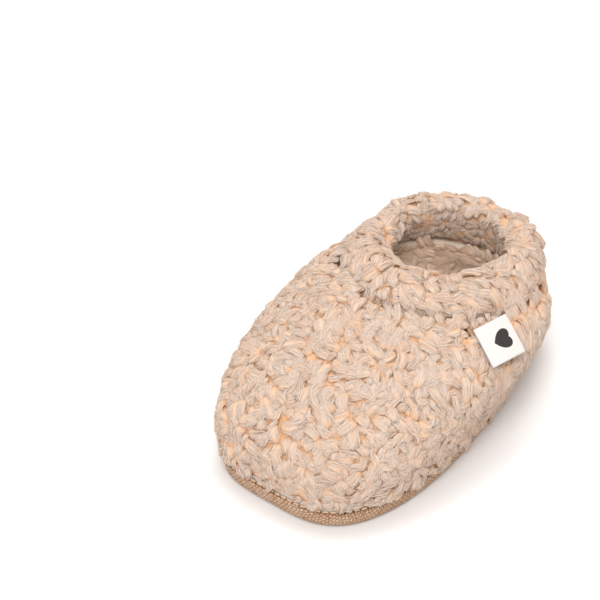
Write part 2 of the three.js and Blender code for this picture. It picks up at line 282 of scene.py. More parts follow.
class MeshShop:
    """Makes objects from arrays of points."""

    @staticmethod
    def make(name: str, points: np.ndarray, faces: list[np.ndarray]) -> bpy.types.Object:
        """Makes a smooth-shaded object.

        Args:
            name: The piece's name.
            points: Its points, one row each.
            faces: Arrays of point numbers, one row per face, each array with its own number of corners.

        Returns:
            The object, linked to the scene.
        """
        mesh = bpy.data.meshes.new(name)
        corners = np.concatenate([f.ravel() for f in faces]).astype(np.int32)
        counts = np.concatenate([np.full(len(f), f.shape[1]) for f in faces]).astype(np.int32)
        starts = np.concatenate([[0], np.cumsum(counts)[:-1]]).astype(np.int32)
        mesh.vertices.add(len(points))
        mesh.vertices.foreach_set("co", points.astype(np.float32).ravel())
        mesh.loops.add(len(corners))
        mesh.loops.foreach_set("vertex_index", corners)
        mesh.polygons.add(len(counts))
        mesh.polygons.foreach_set("loop_start", starts)
        mesh.polygons.foreach_set("use_smooth", np.ones(len(counts), bool))
        mesh.update(calc_edges=True)
        piece = bpy.data.objects.new(name, mesh)
        bpy.context.scene.collection.objects.link(piece)
        return piece

    @staticmethod
    def grid_faces(rows: int, columns: int, start: int = 0, closed: bool = False) -> np.ndarray:
        """Numbers the four-cornered faces of a grid of points.

        Args:
            rows: Points down the grid.
            columns: Points across it.
            start: The number of its first point.
            closed: Whether its last column joins its first.

        Returns:
            One row of four point numbers per face.
        """
        r, c = np.meshgrid(np.arange(rows - 1), np.arange(columns if closed else columns - 1), indexing="ij")
        n = (c + 1) % columns
        here, below = r * columns, (r + 1) * columns
        return (start + np.stack([here + c, here + n, below + n, below + c], -1)).reshape(-1, 4)

    @classmethod
    def shell(cls, name: str, outer: np.ndarray, inner: np.ndarray, closed: bool = False) -> bpy.types.Object:
        """Makes a sheet with a thickness, closed at its rims.

        Args:
            name: The piece's name.
            outer: The grid of its outer side, rows by columns by three.
            inner: The grid of its inner side, of the same shape.
            closed: Whether the columns run in a ring.

        Returns:
            The object.
        """
        rows, columns = outer.shape[:2]
        count = rows * columns
        faces = [cls.grid_faces(rows, columns, start, closed) for start in (0, count)]
        faces[1] = faces[1][:, ::-1]
        number = np.arange(count).reshape(rows, columns)
        edges = [number[0][::-1], number[-1]]
        if not closed:
            edges += [number[:, 0], number[::-1, -1]]
        for edge in edges:
            here, there = (edge, np.roll(edge, -1)) if closed else (edge[:-1], edge[1:])
            faces.append(np.stack([here, here + count, there + count, there], -1)[:, ::-1])
        return cls.make(name, np.concatenate([outer.reshape(-1, 3), inner.reshape(-1, 3)]), faces)

    @staticmethod
    def welded(piece: bpy.types.Object) -> bpy.types.Object:
        """Joins the points of a piece that lie in one place, and returns the piece."""
        work = bmesh.new()
        work.from_mesh(piece.data)
        bmesh.ops.remove_doubles(work, verts=work.verts, dist=0.01 * MM)
        work.to_mesh(piece.data)
        work.free()
        return piece

    @staticmethod
    def add_map(piece: bpy.types.Object, name: str, places: np.ndarray) -> None:
        """Gives a piece a UV map, with one row of two numbers per face corner."""
        layer = piece.data.uv_layers.new(name=name)
        layer.uv.foreach_set("vector", places.astype(np.float32).ravel())

    @classmethod
    def map_points(cls, piece: bpy.types.Object, name: str, places: np.ndarray) -> None:
        """Gives a piece a UV map, with one row of two numbers per point."""
        corners = np.empty(len(piece.data.loops), np.int32)
        piece.data.loops.foreach_get("vertex_index", corners)
        cls.add_map(piece, name, places[corners])

    @staticmethod
    def cut_size(grid: np.ndarray) -> tuple[tuple[float, float], float]:
        """The size that a sheet was cut to.

        Args:
            grid: The grid of points of its middle.

        Returns:
            The width and length of the cloth it takes, and its area.
        """
        across = np.linalg.norm(np.diff(grid, axis=1), axis=-1).sum(1).max()
        down = np.linalg.norm(np.diff(grid, axis=0), axis=-1).sum(0).max()
        a, b = grid[1:, 1:] - grid[:-1, :-1], grid[1:, :-1] - grid[:-1, 1:]
        area = float(np.linalg.norm(np.cross(a, b), axis=-1).sum() / 2)
        return (float(across), float(max(down, 1.02 * area / across))), area


class Board:
    """A material's nodes, with short ways to add to them."""

    def __init__(self, name: str) -> None:
        """Starts a material with a principled shader.

        Args:
            name: The finish's name.
        """
        self.material = bpy.data.materials.new(name)
        self.material.use_nodes = True
        self.tree = self.material.node_tree
        self.tree.nodes.clear()
        self.output = self.add("ShaderNodeOutputMaterial")
        self.shader = self.add("ShaderNodeBsdfPrincipled")
        self.join(self.shader.outputs["BSDF"], self.output.inputs["Surface"])

    def add(
        self, kind: str, values: dict[str | int, object] | None = None, **settings: object
    ) -> bpy.types.Node:
        """Adds a node.

        Args:
            kind: Its type.
            values: What its sockets are set to, by name or number.
            **settings: Its own settings.

        Returns:
            The node.
        """
        node = self.tree.nodes.new(kind)
        for name, value in settings.items():
            setattr(node, name, value)
        for socket, value in (values or {}).items():
            node.inputs[socket].default_value = value
        return node

    def join(self, source: bpy.types.NodeSocket, target: bpy.types.NodeSocket) -> None:
        """Links two sockets."""
        self.tree.links.new(source, target)

    def surface(self, **values: object) -> None:
        """Sets the shader's own sockets, with underscores for the spaces in their names."""
        for name, value in values.items():
            self.shader.inputs[name.replace("_", " ").title().replace("Ior", "IOR")].default_value = value

    def sum(self, operation: str, first: object, second: object = 0.0) -> bpy.types.NodeSocket:
        """Adds a math node, whose inputs are sockets or numbers, and returns its output."""
        node = self.add("ShaderNodeMath", operation=operation)
        for socket, value in zip(node.inputs, (first, second)):
            if isinstance(value, bpy.types.NodeSocket):
                self.join(value, socket)
            else:
                socket.default_value = value
        return node.outputs[0]

    def ramp(self, factor: bpy.types.NodeSocket, *stops: tuple[float, Tint]) -> bpy.types.NodeSocket:
        """Adds a colour ramp with the given stops, and returns its colour."""
        node = self.add("ShaderNodeValToRGB")
        for _ in stops[2:]:
            node.color_ramp.elements.new(0.5)
        for element, (place, _) in zip(node.color_ramp.elements, stops):
            element.position = place
        for element, (_, colour) in zip(node.color_ramp.elements, stops):
            element.color = linear(*colour)
        self.join(factor, node.inputs["Fac"])
        return node.outputs["Color"]

    def blend(self, factor: object, first: object, second: object, kind: str = "MIX") -> bpy.types.NodeSocket:
        """Adds a colour mix, whose inputs are sockets or values, and returns its colour."""
        node = self.add("ShaderNodeMix", data_type="RGBA", blend_type=kind)
        for number, value in ((0, factor), (6, first), (7, second)):
            if isinstance(value, bpy.types.NodeSocket):
                self.join(value, node.inputs[number])
            else:
                node.inputs[number].default_value = value
        return node.outputs[2]

    def noise(self, place: bpy.types.NodeSocket, size: float, detail: float = 3.0) -> bpy.types.NodeSocket:
        """Adds a noise whose lumps have the given size in metres, and returns its value."""
        node = self.add("ShaderNodeTexNoise", {"Scale": 1 / size, "Detail": detail})
        self.join(place, node.inputs["Vector"])
        return node.outputs["Fac"]

    def place(self) -> bpy.types.NodeSocket:
        """The place on the piece, in metres."""
        return self.add("ShaderNodeTexCoord").outputs["Object"]

    def flat(self, map_name: str) -> tuple[bpy.types.NodeSocket, bpy.types.NodeSocket]:
        """The two numbers of a UV map."""
        source = self.add("ShaderNodeUVMap", uv_map=map_name)
        parts = self.add("ShaderNodeSeparateXYZ")
        self.join(source.outputs["UV"], parts.inputs["Vector"])
        return parts.outputs["X"], parts.outputs["Y"]

    def bump(self, height: bpy.types.NodeSocket, depth: float) -> None:
        """Gives the surface a relief of the given depth in metres."""
        node = self.add("ShaderNodeBump", {"Strength": 1.0, "Distance": depth})
        self.join(height, node.inputs["Height"])
        self.join(node.outputs["Normal"], self.shader.inputs["Normal"])

    def colour(self, source: bpy.types.NodeSocket) -> None:
        """Gives the surface its colour."""
        self.join(source, self.shader.inputs["Base Color"])


# ---------------------------------------------------------------- finishes


@dataclass(frozen=True)
class PileFinish:
    """The fibre of the pile: peach at its root and a little warmer at its tip, painted shade where it sinks
    into the pile, and cream along its back.
    """

    name: str
    # root, low and tip are painted shade, deeper and more orange where the lock sinks into the pile; back is
    # the fibre's own cream
    root: Tint = (236, 168, 114)
    low: Tint = (230, 190, 152)
    back: Tint = (220, 199, 180)
    tip: Tint = (224, 200, 177)
    blush: Tint = (255, 250, 246)
    shade: Tint = (255, 243, 232)
    # the groove tint is painted shade in the grooves between the fibres
    groove_shade: Tint = (250, 230, 212)
    streaks: float = 400.0  # fibres across the whole map
    sheen_tint: Tint = (255, 226, 200)

    @classmethod
    def loose(cls, name: str) -> "PileFinish":
        """The paler finish of the loose fibres, a painted highlight for the light that frosts them."""
        return cls(name, root=(228, 198, 172), low=(229, 212, 197), back=(229, 220, 214), tip=(229, 214, 204))

    def material(self) -> bpy.types.Material:
        """Makes the material, whose colour follows the lock's map: its shade across, and root to tip up, with
        painted shade at the root, at the tip and in the grooves between fibres.
        """
        board = Board(self.name)
        shade, length = board.flat("OFBake")
        low, back, tip = (0.22, self.low), (0.5, self.back), (1.0, self.tip)
        # Painted shade: darker and more orange at the root and the tip, where the lock sinks into the pile.
        along = board.ramp(length, (0.0, self.root), low, back, (0.8, self.back), tip)
        tint = board.ramp(shade, (0.0, self.shade), (0.45, self.blush), (1.0, PLAIN))
        # Painted shade in the grooves between the fibres, across each lock.
        fibre = board.sum("PINGPONG", board.sum("MULTIPLY", shade, self.streaks), 1.0)
        groove_shading = board.ramp(fibre, (0.0, self.groove_shade), (0.6, PLAIN))
        board.colour(board.blend(1.0, board.blend(1.0, along, tint, "MULTIPLY"), groove_shading, "MULTIPLY"))
        board.surface(roughness=0.9, specular_ior_level=0.2)
        board.surface(sheen_weight=0.6, sheen_roughness=0.7, sheen_tint=linear(*self.sheen_tint))
        return board.material


@dataclass(frozen=True)
class BackingFinish:
    """The knitted ground of the fleece, seen deep between the curls; its deep orange is painted shade for that
    depth.
    """

    name: str
    # Both tones are deep orange, painted shade for the depth; the noise mixes them in random patches.
    light: Tint = (236, 200, 164)
    dark: Tint = (234, 178, 130)
    lump: float = 1.2 * MM

    def material(self) -> bpy.types.Material:
        """Makes the material."""
        board = Board(self.name)
        place = board.place()
        patches = board.noise(place, self.lump, 4)
        board.colour(board.ramp(patches, (0.3, self.dark), (0.7, self.light)))
        board.bump(board.noise(place, self.lump * 0.4, 5), 0.6 * MM)
        board.surface(roughness=0.95, sheen_weight=0.2, sheen_roughness=0.5, specular_ior_level=0.15)
        return board.material


@dataclass(frozen=True)
class CanvasFinish:
    """Coarse tan canvas: rows of weft floats, each row half a float on from the last, with a painted highlight
    on the floats' tops and painted shade in the gaps between them.
    """

    name: str
    float_length: float = 1.45 * MM
    row: float = 0.95 * MM
    # pale is a painted highlight on the floats' tops, middle the canvas's own tan and gap painted shade between
    # the floats
    pale: Tint = (223, 201, 180)
    middle: Tint = (208, 180, 154)
    gap: Tint = (162, 117, 87)
    stain: Tint = (236, 222, 208)
    thread: Tint = (214, 190, 170)

    def relief(self, places: np.ndarray) -> np.ndarray:
        """The height of the weave at places on the cloth, from 0 in a gap to 1 on a float."""
        row = np.floor(places[..., 1] / self.row)
        along = np.mod(places[..., 0] / self.float_length + 0.5 * np.mod(row, 2), 1)
        across = np.mod(places[..., 1] / self.row, 1)
        return (np.sin(np.pi * along) * np.sin(np.pi * across)) ** 0.5

    def material(self) -> bpy.types.Material:
        """Makes the material, whose weave follows the cloth's own map."""
        board = Board(self.name)
        u, v = board.flat("Cloth")
        sway = board.noise(board.place(), 4 * MM, 2)
        v = board.sum("ADD", v, board.sum("MULTIPLY", board.sum("SUBTRACT", sway, 0.5), 0.5 * MM))
        rows = board.sum("DIVIDE", v, self.row)
        row = board.sum("FLOOR", rows)
        step = board.sum("MULTIPLY", row, 0.5)
        along = board.sum("FRACT", board.sum("ADD", board.sum("DIVIDE", u, self.float_length), step))
        across = board.sum("FRACT", rows)
        bump_u = board.sum("SINE", board.sum("MULTIPLY", along, math.pi))
        bump_v = board.sum("SINE", board.sum("MULTIPLY", across, math.pi))
        height = board.sum("POWER", board.sum("MULTIPLY", bump_u, bump_v), 0.5)
        # Painted highlight on the floats' tops and painted shade in the gaps, following the weave's height.
        weave = board.ramp(height, (0.18, self.gap), (0.55, self.middle), (0.95, self.pale))
        patches = board.noise(board.place(), 9 * MM, 4)
        stain = board.ramp(patches, (0.3, self.stain), (0.7, PLAIN))
        threads = board.noise(board.place(), 0.8 * MM, 3)
        thread_tint = board.ramp(threads, (0.3, self.thread), (0.65, PLAIN))
        board.colour(board.blend(1.0, board.blend(1.0, weave, stain, "MULTIPLY"), thread_tint, "MULTIPLY"))
        board.bump(height, 0.3 * MM)
        board.surface(roughness=0.9, sheen_weight=0.08, specular_ior_level=0.2)
        return board.material


@dataclass(frozen=True)
class ClothFinish:
    """A plain fine cloth, such as jersey, foam or elastic, with a small grain of its own."""

    name: str
    light: Tint
    dark: Tint
    grain: float = 0.5 * MM
    depth: float = 0.15 * MM
    roughness: float = 0.9
    sheen: float = 0.15

    def material(self) -> bpy.types.Material:
        """Makes the material."""
        board = Board(self.name)
        place = board.place()
        stretched = board.add("ShaderNodeMapping", {"Scale": (1.0, 0.45, 1.0)})
        board.join(place, stretched.inputs["Vector"])
        grain = board.noise(stretched.outputs["Vector"], self.grain, 3)
        patches = board.noise(place, 14 * MM, 3)
        both = board.sum("ADD", board.sum("MULTIPLY", grain, 0.5), board.sum("MULTIPLY", patches, 0.5))
        board.colour(board.ramp(both, (0.3, self.dark), (0.65, self.light)))
        board.bump(grain, self.depth)
        board.surface(roughness=self.roughness, sheen_weight=self.sheen, specular_ior_level=0.25)
        return board.material


@dataclass(frozen=True)
class TapeFinish:
    """Woven label tape with a small dark heart printed on its outer face."""

    name: str
    light: Tint = (232, 228, 225)
    dark: Tint = (214, 208, 203)
    print_colour: Tint = (44, 38, 36)
    heart_at: tuple[float, float] = (6.6 * MM, 0.0)
    heart_size: float = 2.7 * MM

    def material(self) -> bpy.types.Material:
        """Makes the material, which follows the tape's own map in metres."""
        board = Board(self.name)
        u, v = board.flat("Tape")
        ribs = board.sum("SINE", board.sum("MULTIPLY", v, FULL_TURN / (0.32 * MM)))
        ends = board.sum("SINE", board.sum("MULTIPLY", u, FULL_TURN / (0.45 * MM)))
        weave = board.sum("MULTIPLY", board.sum("ADD", ribs, ends), 0.25)
        cloth = board.ramp(board.sum("ADD", weave, 0.5), (0.1, self.dark), (0.8, self.light))
        x = board.sum("DIVIDE", board.sum("SUBTRACT", v, self.heart_at[1]), self.heart_size)
        y = board.sum("DIVIDE", board.sum("SUBTRACT", u, self.heart_at[0]), self.heart_size)
        xx, yy = board.sum("MULTIPLY", x, x), board.sum("MULTIPLY", y, y)
        bulk = board.sum("SUBTRACT", board.sum("ADD", xx, yy), 1.0)
        cube = board.sum("MULTIPLY", board.sum("MULTIPLY", bulk, bulk), bulk)
        heart = board.sum("SUBTRACT", cube, board.sum("MULTIPLY", xx, board.sum("MULTIPLY", yy, y)))
        inked = board.sum("LESS_THAN", heart, 0.0)
        board.colour(board.blend(inked, cloth, linear(*self.print_colour)))
        board.bump(weave, 0.05 * MM)
        board.surface(roughness=0.7, sheen_weight=0.1)
        return board.material


# ---------------------------------------------------------------- pile


class Lay(Enum):
    """How a region of pile lies."""

    CURLED = "curled"
    SWIRLED = "swirled"
    COMBED = "combed"

    @property
    def spread(self) -> float:
        """How far locks turn from the way down, in radians."""
        return {Lay.CURLED: 2.4, Lay.SWIRLED: 1.5, Lay.COMBED: 0.8}[self]


@dataclass(frozen=True)
class LockStyle:
    """The sizes of the locks in one region of pile."""

    pitch: float
    bend: tuple[float, float] = (1.2 * MM, 2.1 * MM)  # radius of the arch
    half_width: tuple[float, float] = (1.0 * MM, 2.0 * MM)
    reach: tuple[float, float] = (0.9, 1.6)  # stretch along the lean
    height: tuple[float, float] = (0.45, 0.75)
    sweep: tuple[float, float] = (math.radians(150), math.radians(205))
    twirl: float = 1.4 * MM
    wave: float = 0.35 * MM  # how far a lock and its loose fibres sway from side to side
    fibres: int = 16  # lines of fibre over the outside of one lock
    ridge: float = 0.09  # how far they stand up, as a share of its half width
    plump: float = 0.5  # its half thickness, as a share of its half width
    rings: int = 8
    strays: int = 15  # loose fibres over one lock
    stray_rings: int = 6
    stray_radius: float = 0.11 * MM
    sunk: float = 0.8 * MM  # depth of the roots under the outside
    lay: Lay = Lay.CURLED


@dataclass
class Roots:
    """Where locks grow: their places, the ways out, down and along there, and how big each is."""

    place: np.ndarray
    out: np.ndarray
    down: np.ndarray
    along: np.ndarray
    size: np.ndarray

    def parts(self) -> tuple[np.ndarray, ...]:
        """Their five arrays, in order."""
        return self.place, self.out, self.down, self.along, self.size

    def kept(self, chosen: np.ndarray) -> "Roots":
        """The chosen ones."""
        return Roots(*(part[chosen] for part in self.parts()))

    def joined(self, others: "Roots") -> "Roots":
        """These and the others."""
        return Roots(*(np.concatenate(pair) for pair in zip(self.parts(), others.parts())))

    def spaced(self, pitch: float, seed: int) -> "Roots":
        """Thins them out at random.

        Args:
            pitch: The least distance between two that stay.
            seed: The number that the order comes from.

        Returns:
            Those that stay.
        """
        taken: dict[tuple[int, int, int], list[np.ndarray]] = {}
        kept = []
        near = [(i, j, k) for i in (-1, 0, 1) for j in (-1, 0, 1) for k in (-1, 0, 1)]
        cells = np.floor(self.place / pitch).astype(int)
        for number in np.random.default_rng(seed).permutation(len(self.place)):
            x, y, z = cells[number]
            here = self.place[number]
            if any(
                ((here - other) ** 2).sum() < pitch * pitch
                for i, j, k in near
                for other in taken.get((x + i, y + j, z + k), ())
            ):
                continue
            taken.setdefault((x, y, z), []).append(here)
            kept.append(number)
        return self.kept(np.array(sorted(kept)))


@dataclass
class Locks:
    """Locks of pile: the lines that run along each one, side by side round it, and each one's shade."""

    lines: np.ndarray
    shades: np.ndarray

    def kept(self, chosen: np.ndarray) -> "Locks":
        """The chosen ones."""
        return Locks(self.lines[chosen], self.shades[chosen])

    def piece(self, name: str, columns: int = 32) -> bpy.types.Object:
        """Makes them into one object, each lock closed at both ends.

        Args:
            name: The piece's name.
            columns: How many shades its map has room for, side by side.

        Returns:
            The object, with the map that its colours follow.
        """
        count, around, rings = self.lines.shape[:3]
        number = np.arange(count * around * rings).reshape(count, around, rings)
        after = np.roll(number, -1, axis=1)
        sides = np.stack([number[..., :-1], after[..., :-1], after[..., 1:], number[..., 1:]], -1)
        ends = np.stack([number[:, ::-1, 0], number[..., -1]], 1)
        faces = [sides.reshape(-1, 4), ends.reshape(-1, around)]
        piece = MeshShop.make(name, self.lines.reshape(-1, 3), faces)
        column = np.clip((self.shades * columns).astype(int), 0, columns - 1)[:, None, None]
        left = (column + 0.1 + 0.8 * np.arange(around)[:, None] / around) / columns
        right = left + 0.8 / around / columns
        low = 0.03 + 0.94 * np.arange(rings - 1) / (rings - 1)
        high = low + 0.94 / (rings - 1)
        shape = (count, around, rings - 1)
        u = np.stack([np.broadcast_to(x, shape) for x in (left, right, right, left)], -1)
        v = np.stack([np.broadcast_to(x, shape) for x in (low, low, high, high)], -1)
        turn = np.arange(around) * FULL_TURN / around
        cap_u = np.broadcast_to((column + 0.5 + 0.35 * np.cos(turn)) / columns, (count, 2, around))
        cap_v = np.broadcast_to(np.array([[0.015], [0.985]]) + 0.012 * np.sin(turn), (count, 2, around))
        places = [np.stack([a, b], -1).reshape(-1, 2) for a, b in ((u, v), (cap_u, cap_v))]
        MeshShop.add_map(piece, "OFBake", np.concatenate(places))
        return piece


class Comb:
    """Grows locks from roots: each rises, arches over and tucks back in, ridged by the fibres along it."""

    def __init__(self, style: LockStyle, seed: int) -> None:
        """Sets the comb.

        Args:
            style: The sizes of the locks.
            seed: The number that their variety comes from.
        """
        self.style = style
        self.chance = np.random.default_rng(seed)
        self.drift = Ripple(seed)
        self.patches = Ripple(seed + 1)

    def between(self, sizes: tuple[float, float], shape: tuple[int, ...]) -> np.ndarray:
        """Random numbers between two sizes."""
        return self.chance.uniform(sizes[0], sizes[1], shape)

    def grow(self, roots: Roots) -> Locks:
        """Grows a lock from each root.

        Args:
            roots: Where they grow.

        Returns:
            The locks.
        """
        style, locks = self.style, len(roots.place)
        one = (locks, 1, 1)
        spread = style.lay.spread * roots.size
        lean = self.drift.at(roots.place, 22 * MM) * spread + self.chance.normal(0, 0.3, locks) * spread
        way = unit(roots.down * np.cos(lean)[:, None] + roots.along * np.sin(lean)[:, None])
        side = np.cross(roots.out, way)
        size = roots.size[:, None, None]
        bend = self.between(style.bend, one) * size
        width = self.between(style.half_width, one) * size
        reach, height = self.between(style.reach, one), self.between(style.height, one)
        start = self.chance.uniform(-0.5, 0.1, one)
        sweep = self.between(style.sweep, one)
        twirl = self.chance.normal(0, style.twirl, one) * size

        over, under = np.linspace(0, math.pi, style.fibres), np.linspace(math.pi, FULL_TURN, 6)[1:-1]
        turn = np.concatenate([over, under])[None, :, None]
        around = turn.shape[1]
        in_and_out = np.where(np.arange(around) % 2, -1, 1)[:, None]
        ridge = 1 + style.ridge * in_and_out * self.chance.uniform(0.4, 1.6, (locks, around, 1))
        t = np.linspace(0, 1, style.rings)[None, None, :]
        waist = 0.45 + 0.55 * np.sin(math.pi * np.clip(t * 0.85 + 0.1, 0, 1)) ** 0.8
        late = self.chance.normal(0, 0.22, (locks, around, 1)) * t**2
        angle = start + late + (sweep - start) * t
        arm = bend + np.sin(turn) * style.plump * width * waist * ridge
        forward = reach * (bend - arm * np.cos(angle)) - 0.3 * bend
        lift = height * arm * np.sin(angle) - style.sunk - (1 - size) * 0.5 * MM
        rate, phase = self.chance.uniform(0.8, 1.6, one), self.chance.uniform(0, 1, one)
        wave = np.sin(FULL_TURN * (t * rate + phase)) * style.wave
        sideways = np.cos(turn) * width * waist * ridge + twirl * t**2 + wave
        lines = (
            roots.place[:, None, None]
            + way[:, None, None] * forward[..., None]
            + roots.out[:, None, None] * lift[..., None]
            + side[:, None, None] * sideways[..., None]
        )
        shades = 0.62 + 0.22 * self.patches.at(roots.place, 16 * MM) + self.chance.normal(0, 0.14, locks)
        return Locks(lines, np.clip(shades, 0, 0.999))

    def strays(self, locks: Locks, out: np.ndarray) -> Locks:
        """Lays loose fibres over the locks.

        Args:
            locks: The locks.
            out: The way out at each one.

        Returns:
            The fibres, each a thin lock of three lines.
        """
        style, count = self.style, len(locks.lines)
        each = (count, style.strays)
        chosen = self.chance.integers(1, style.fibres - 1, each)
        steps = np.linspace(0, style.rings - 1, style.stray_rings).round().astype(int)
        path = np.take_along_axis(locks.lines, chosen[..., None, None], 1)[:, :, steps]
        beside = np.take_along_axis(locks.lines, chosen[..., None, None] + 1, 1)[:, :, steps]
        side = unit(beside - path)
        t = np.linspace(0, 1, style.stray_rings)
        rate, phase = self.chance.uniform(0.7, 2.2, (*each, 1)), self.chance.uniform(0, 1, (*each, 1))
        wave = np.sin(FULL_TURN * (t * rate + phase)) * style.wave
        loft, flick = self.chance.uniform(0.0, 0.35, (*each, 1)), self.chance.uniform(0, 0.8, (*each, 1))
        rise = (loft * np.sin(math.pi * t) + flick * t**3) * MM + 0.05 * MM
        path = path + side * wave[..., None] + out[:, None, None] * rise[..., None]
        along = unit(np.gradient(path, axis=2))
        third = unit(np.cross(along, side))
        side = np.cross(third, along)
        turn = (np.arange(3) * FULL_TURN / 3 + math.pi / 2)[:, None, None]
        radius = style.stray_radius * (1 - 0.55 * t[:, None] ** 3)
        round_it = np.cos(turn) * side[:, :, None] + np.sin(turn) * third[:, :, None]
        lines = path[:, :, None] + radius * round_it
        shades = np.repeat(locks.shades, style.strays) + self.chance.normal(0, 0.12, count * style.strays)
        return Locks(lines.reshape(-1, 3, style.stray_rings, 3), np.clip(shades, 0, 0.999))


# ---------------------------------------------------------------- sub-assemblies


@dataclass
class Upper:
    """The fleece upper: vamp and heel piece, each a knitted backing with its pile, and their linings."""

    form: BootieForm
    label: "SideLabel"
    pile: LockStyle = LockStyle(pitch=2.05 * MM)
    heel_pile: LockStyle = LockStyle(
        pitch=2.2 * MM,
        reach=(1.1, 2.0),
        height=(0.45, 0.7),
        half_width=(1.2 * MM, 2.2 * MM),
        lay=Lay.COMBED,
    )
    inner_pile: LockStyle = LockStyle(
        pitch=2.2 * MM,
        bend=(1.0 * MM, 1.6 * MM),
        half_width=(0.8 * MM, 1.5 * MM),
        reach=(1.3, 2.4),
        height=(0.2, 0.4),
        fibres=10,
        rings=7,
        strays=8,
        sunk=0.2 * MM,
        lay=Lay.SWIRLED,
    )
    backing_depth: float = 0.5 * MM
    tries: int = 16000  # roots scattered before they are thinned out
    upward_from: float = 0.945  # the share above which locks point up, over the cuff's seam
    hang: float = 1.4 * MM  # how far the lowest locks of the outer side hang over the canvas

    def turns(self, heel: bool, share: np.ndarray, part: np.ndarray, allowance: float = 1.0) -> np.ndarray:
        """The turns across one of the two pieces.

        Args:
            heel: Whether it is the heel piece.
            share: How far up, one per point.
            part: How far across from one side seam to the other, one per point.
            allowance: How much of the seam allowance the piece stays back by.

        Returns:
            One turn per point.
        """
        seam, gap = self.form.side_seam(share), self.form.seam_allowance(share) * allowance
        if heel:
            return mix(seam + gap, FULL_TURN - seam - gap, part)
        return mix(-(seam - gap), seam - gap, part)

    def backing(self, name: str, heel: bool, outer: float, inner: float, lump: float) -> bpy.types.Object:
        """Makes the backing or lining of one piece.

        Args:
            name: The piece's name.
            heel: Whether it is the heel piece.
            outer: The depth of its outer side.
            inner: The depth of its inner side.
            lump: How far its outer side swells and sinks.

        Returns:
            The object.
        """
        rows, columns = 60, 150
        share, part = np.meshgrid(np.linspace(0, 0.985, rows), np.linspace(0, 1, columns), indexing="ij")
        turn = self.turns(heel, share, part)
        place, _, _, out = self.form.frames(turn, share)
        rolled = np.minimum(np.minimum(part, 1 - part) * 24, np.minimum(share, 1 - share) * 20)
        roll = 1 - np.sqrt(np.clip(1 - (1 - np.clip(rolled, 0, 1)) ** 2, 0, 1))
        swell = lump * Ripple(11).at(place, 5 * MM) * (1 - roll)
        middle = (outer + inner) / 2
        outside = place - out * (mix(outer, middle, roll) + swell)[..., None]
        inside = place - out * (mix(inner, middle, roll) - swell * 0.3)[..., None]
        piece = MeshShop.shell(name, outside, inside)
        flat, area = MeshShop.cut_size(place - out * middle)
        return piece

    def roots(
        self, heel: bool, depth: float, seed: int, low: float, high: float, facing: float = 1.0
    ) -> Roots:
        """Scatters roots over one piece.

        Args:
            heel: Whether it is the heel piece.
            depth: How deep they lie.
            seed: The number that they come from.
            low: The lowest share.
            high: The highest share.
            facing: 1 for roots on the outside and -1 for roots on the inside.

        Returns:
            More roots than are needed, to be thinned out.
        """
        chance = np.random.default_rng(seed)
        share, part = chance.uniform(low, high, self.tries), chance.uniform(0, 1, self.tries)
        turn = self.turns(heel, share, part, 0.4)
        place, up, around, out = self.form.frames(turn, share)
        down = -unit(np.cross(np.cross(out, up), out)) * np.where(share > self.upward_from, -1, 1)[:, None]
        return Roots(place - out * depth, out * facing, down, unit(np.cross(down, out)), np.ones(len(turn)))

    def grow(self, side: str, heel: bool, seed: int) -> list[bpy.types.Object]:
        """Makes the outer pile of one piece: its locks and the loose fibres over them."""
        style = self.heel_pile if heel else self.pile
        roots = self.roots(heel, 0, seed, 0.02, 0.975).spaced(style.pitch, seed)
        level = roots.place[:, 2] - self.form.upper_base
        front = smooth_step(-roots.place[:, 1], 25 * MM, 45 * MM)
        size = mix(mix(0.95, 0.72, front), 1.0, smooth_step(level, 0, 9 * MM))
        roots.size = size * self.label.room(roots.place)
        hang = (1 - front) * (1 - smooth_step(level, 0, 6 * MM)) * (roots.place[:, 0] > 0)
        roots.place = roots.place - np.array([0, 0, self.hang]) * hang[:, None]
        comb = Comb(style, seed)
        locks = comb.grow(roots)
        clear = self.label.clear(locks.lines) & (locks.lines[..., 2].min((1, 2)) > 1.0 * MM)
        locks = locks.kept(clear)
        strays = comb.strays(locks, roots.out[clear])
        strays = strays.kept(self.label.clear(strays.lines))
        return [locks.piece(f"{side}_pile"), strays.piece(f"{side}_fuzz")]

    def build(self) -> list[bpy.types.Object]:
        """Builds and dresses the upper, and returns its pieces."""
        form = self.form
        backing, fibre = BackingFinish("fleece backing").material(), PileFinish("fleece pile").material()
        loose = PileFinish.loose("loose fleece fibre").material()
        # The lining and the low, back and tip of its pile are paler than the outer fleece: painted light for
        # the inside of the opening, which the lamps barely reach.
        lining = BackingFinish("brushed lining", light=(253, 236, 218), dark=(252, 224, 198)).material()
        low, back, tip = (252, 226, 200), (253, 238, 222), (252, 230, 208)
        inner_fibre = PileFinish("lining pile", low=low, back=back, tip=tip).material()
        pieces = []
        for side, heel, seed in (("vamp", False, 21), ("heel", True, 31)):
            skin = self.backing(f"{side}_backing", heel, self.backing_depth, form.fleece_thickness, 0.35 * MM)
            skin.data.materials.append(backing)
            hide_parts(f"{side}_fleece")
            pile, wisps = self.grow(side, heel, seed)
            pile.data.materials.append(fibre)
            wisps.data.materials.append(loose)
            depth = form.lining_depth + form.lining_thickness
            inner = self.backing(f"{side}_inner", heel, form.lining_depth, depth, 0.2 * MM)
            inner.data.materials.append(lining)
            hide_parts(f"{side}_lining")
            roots = self.roots(heel, depth, seed + 5, 0.12, 0.97, -1).spaced(self.inner_pile.pitch, seed)
            comb = Comb(self.inner_pile, seed + 5)
            locks = comb.grow(roots)
            strays = comb.strays(locks, roots.out)
            nap = [locks.piece(f"{side}_inner_pile"), strays.piece(f"{side}_inner_fuzz")]
            for piece in nap:
                piece.data.materials.append(inner_fibre)
            for group, slot in (((skin, pile, wisps), "fleece"), ((inner, *nap), "soft_lining")):
                for piece in group:
                    pieces.append(piece)
        return pieces


